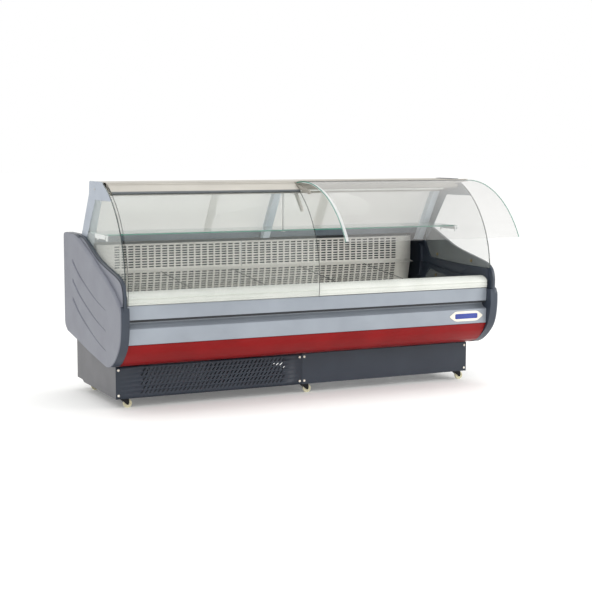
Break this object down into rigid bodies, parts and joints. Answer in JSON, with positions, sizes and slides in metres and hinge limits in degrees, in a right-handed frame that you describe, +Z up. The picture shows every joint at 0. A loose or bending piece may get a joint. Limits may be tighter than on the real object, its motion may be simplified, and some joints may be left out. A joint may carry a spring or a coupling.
{
  "type": "refrigerated deli case",
  "caption": "Serve-over refrigerated display counter with tilting curved front glass, raised glass shelf, rear sliding doors, steel worktop and casters.",
  "frame": {"origin": "on the floor under the middle of the case's bounding box, with the right-hand front glass open", "axes": "+X along the length, to the customer's right; -Y towards the customer; +Z up"},
  "size_m": [2.38, 1.3372, 1.2481],
  "materials": {
    "end_frame": "textured slate moulding",
    "end_cover": "satin grey moulding",
    "front_paint": "semi-gloss silver grey powder coat",
    "red_paint": "gloss red paint",
    "base_paint": "slate powder coat",
    "side_paint": "charcoal powder coat",
    "frame_paint": "painted steel tube",
    "caster_steel": "black zinc",
    "wheel_nylon": "cream nylon",
    "tub_steel": "grey coated steel over foam",
    "bumper": "off-white extruded profile",
    "canopy_metal": "champagne anodised",
    "lamp": "white diffuser",
    "stainless": "fine brushed",
    "deck_steel": "bright polished",
    "aluminium": "satin anodised",
    "sill_metal": "satin",
    "clear_glass": "clear, tempered",
    "shelf_glass": "clear with green edge",
    "door_plastic": "translucent off-white",
    "coil": "fin pack with copper tone",
    "black_plastic": "moulded",
    "condenser_metal": "grey",
    "fan_yellow": "yellow",
    "compressor_paint": "black enamel",
    "rocker_red": "translucent red"
  },
  "bodies": {
    "case": {"end_frame_right": "end_frame", "end_frame_left": "end_frame", "end_cover_right": "end_cover", "end_cover_left": "end_cover", "front_panel": "front_paint", "lower_front_panel": "red_paint", "base_front_grille": "base_paint", "base_front_panel": "base_paint", "base_shell": "side_paint", "base_frame": "frame_paint", "tub": "tub_steel", "bumper_rail": "bumper", "canopy": "canopy_metal", "canopy_lamp": "lamp", "worktop": "stainless", "louvre_panel": "stainless", "evaporator_fan_tray": "stainless", "shelf_hanger": "stainless", "deck_plate_1": "deck_steel", "deck_plate_2": "deck_steel", "deck_plate_3": "deck_steel", "deck_plate_4": "deck_steel", "deck_plate_5": "deck_steel", "post_left": "aluminium", "post_middle": "aluminium", "post_right": "aluminium", "shelf_support_left": "aluminium", "shelf_support_right": "aluminium", "door_sill": "sill_metal", "end_glass_left": "clear_glass", "end_glass_right": "clear_glass", "shelf_glass": "shelf_glass", "evaporator": "coil", "control_panel": "black_plastic", "cord_gland": "black_plastic", "condenser": "condenser_metal", "compressor": "compressor_paint"},
    "front_glass_left": {"front_glass_left": "clear_glass", "glass_clamp_left": "aluminium"},
    "front_glass_right": {"front_glass_right": "clear_glass", "glass_clamp_right": "aluminium"},
    "door_left": {"door_left": "door_plastic"},
    "door_middle": {"door_middle": "door_plastic"},
    "door_right": {"door_right": "door_plastic"},
    "caster_front_left": {"caster_fork_front_left": "caster_steel"},
    "wheel_front_left": {"caster_wheel_front_left": "wheel_nylon"},
    "caster_front_middle": {"caster_fork_front_middle": "caster_steel"},
    "wheel_front_middle": {"caster_wheel_front_middle": "wheel_nylon"},
    "caster_front_right": {"caster_fork_front_right": "caster_steel"},
    "wheel_front_right": {"caster_wheel_front_right": "wheel_nylon"},
    "caster_rear_left": {"caster_fork_rear_left": "caster_steel"},
    "wheel_rear_left": {"caster_wheel_rear_left": "wheel_nylon"},
    "caster_rear_middle": {"caster_fork_rear_middle": "caster_steel"},
    "wheel_rear_middle": {"caster_wheel_rear_middle": "wheel_nylon"},
    "caster_rear_right": {"caster_fork_rear_right": "caster_steel"},
    "wheel_rear_right": {"caster_wheel_rear_right": "wheel_nylon"},
    "evaporator_fan_left": {"evaporator_fan_left": "black_plastic"},
    "evaporator_fan_right": {"evaporator_fan_right": "black_plastic"},
    "condenser_fan": {"condenser_fan": "fan_yellow"},
    "power_rocker": {"power_rocker": "rocker_red"}
  },
  "joints": [
    {"name": "front_glass_left_hinge", "type": "hinge", "parent": "case", "child": "front_glass_left", "pos_m": [0, -0.02143, 1.228], "axis": [-1, 0, 0], "range_deg": [0, 60]},
    {"name": "front_glass_right_hinge", "type": "hinge", "parent": "case", "child": "front_glass_right", "pos_m": [0, -0.02143, 1.228], "axis": [-1, 0, 0], "range_deg": [-37, 23]},
    {"name": "door_left_slide", "type": "slide", "parent": "case", "child": "door_left", "axis": [1, 0, 0], "range_m": [0, 0.68]},
    {"name": "door_middle_slide", "type": "slide", "parent": "case", "child": "door_middle", "axis": [1, 0, 0], "range_m": [-0.73, 0.73]},
    {"name": "door_right_slide", "type": "slide", "parent": "case", "child": "door_right", "axis": [1, 0, 0], "range_m": [-0.68, 0]},
    {"name": "caster_front_left_swivel", "type": "hinge", "parent": "case", "child": "caster_front_left", "pos_m": [-1.084, -0.08343, 0.06], "axis": [0, 0, 1], "continuous": true},
    {"name": "wheel_front_left_spin", "type": "hinge", "parent": "caster_front_left", "child": "wheel_front_left", "pos_m": [-1.056, -0.08343, 0.025], "axis": [0, 1, 0], "continuous": true},
    {"name": "caster_front_middle_swivel", "type": "hinge", "parent": "case", "child": "caster_front_middle", "pos_m": [0.025, -0.08343, 0.06], "axis": [0, 0, 1], "continuous": true},
    {"name": "wheel_front_middle_spin", "type": "hinge", "parent": "caster_front_middle", "child": "wheel_front_middle", "pos_m": [0.053, -0.08343, 0.025], "axis": [0, 1, 0], "continuous": true},
    {"name": "caster_front_right_swivel", "type": "hinge", "parent": "case", "child": "caster_front_right", "pos_m": [1.084, -0.08343, 0.06], "axis": [0, 0, 1], "continuous": true},
    {"name": "wheel_front_right_spin", "type": "hinge", "parent": "caster_front_right", "child": "wheel_front_right", "pos_m": [1.112, -0.08343, 0.025], "axis": [0, 1, 0], "continuous": true},
    {"name": "caster_rear_left_swivel", "type": "hinge", "parent": "case", "child": "caster_rear_left", "pos_m": [-1.084, 0.51357, 0.06], "axis": [0, 0, 1], "continuous": true},
    {"name": "wheel_rear_left_spin", "type": "hinge", "parent": "caster_rear_left", "child": "wheel_rear_left", "pos_m": [-1.056, 0.51357, 0.025], "axis": [0, 1, 0], "continuous": true},
    {"name": "caster_rear_middle_swivel", "type": "hinge", "parent": "case", "child": "caster_rear_middle", "pos_m": [0.025, 0.51357, 0.06], "axis": [0, 0, 1], "continuous": true},
    {"name": "wheel_rear_middle_spin", "type": "hinge", "parent": "caster_rear_middle", "child": "wheel_rear_middle", "pos_m": [0.053, 0.51357, 0.025], "axis": [0, 1, 0], "continuous": true},
    {"name": "caster_rear_right_swivel", "type": "hinge", "parent": "case", "child": "caster_rear_right", "pos_m": [1.084, 0.51357, 0.06], "axis": [0, 0, 1], "continuous": true},
    {"name": "wheel_rear_right_spin", "type": "hinge", "parent": "caster_rear_right", "child": "wheel_rear_right", "pos_m": [1.112, 0.51357, 0.025], "axis": [0, 1, 0], "continuous": true},
    {"name": "evaporator_fan_left_spin", "type": "hinge", "parent": "case", "child": "evaporator_fan_left", "pos_m": [-0.46, 0.21057, 0.452], "axis": [0, 1, 0], "continuous": true},
    {"name": "evaporator_fan_right_spin", "type": "hinge", "parent": "case", "child": "evaporator_fan_right", "pos_m": [0.46, 0.21057, 0.452], "axis": [0, 1, 0], "continuous": true},
    {"name": "condenser_fan_spin", "type": "hinge", "parent": "case", "child": "condenser_fan", "pos_m": [-0.76, 0.01857, 0.158], "axis": [0, 1, 0], "continuous": true},
    {"name": "power_rocker_tip", "type": "hinge", "parent": "case", "child": "power_rocker", "pos_m": [-0.63, 0.66397, 0.856], "axis": [-1, 0, 0], "range_deg": [0, 16]}
  ]
}
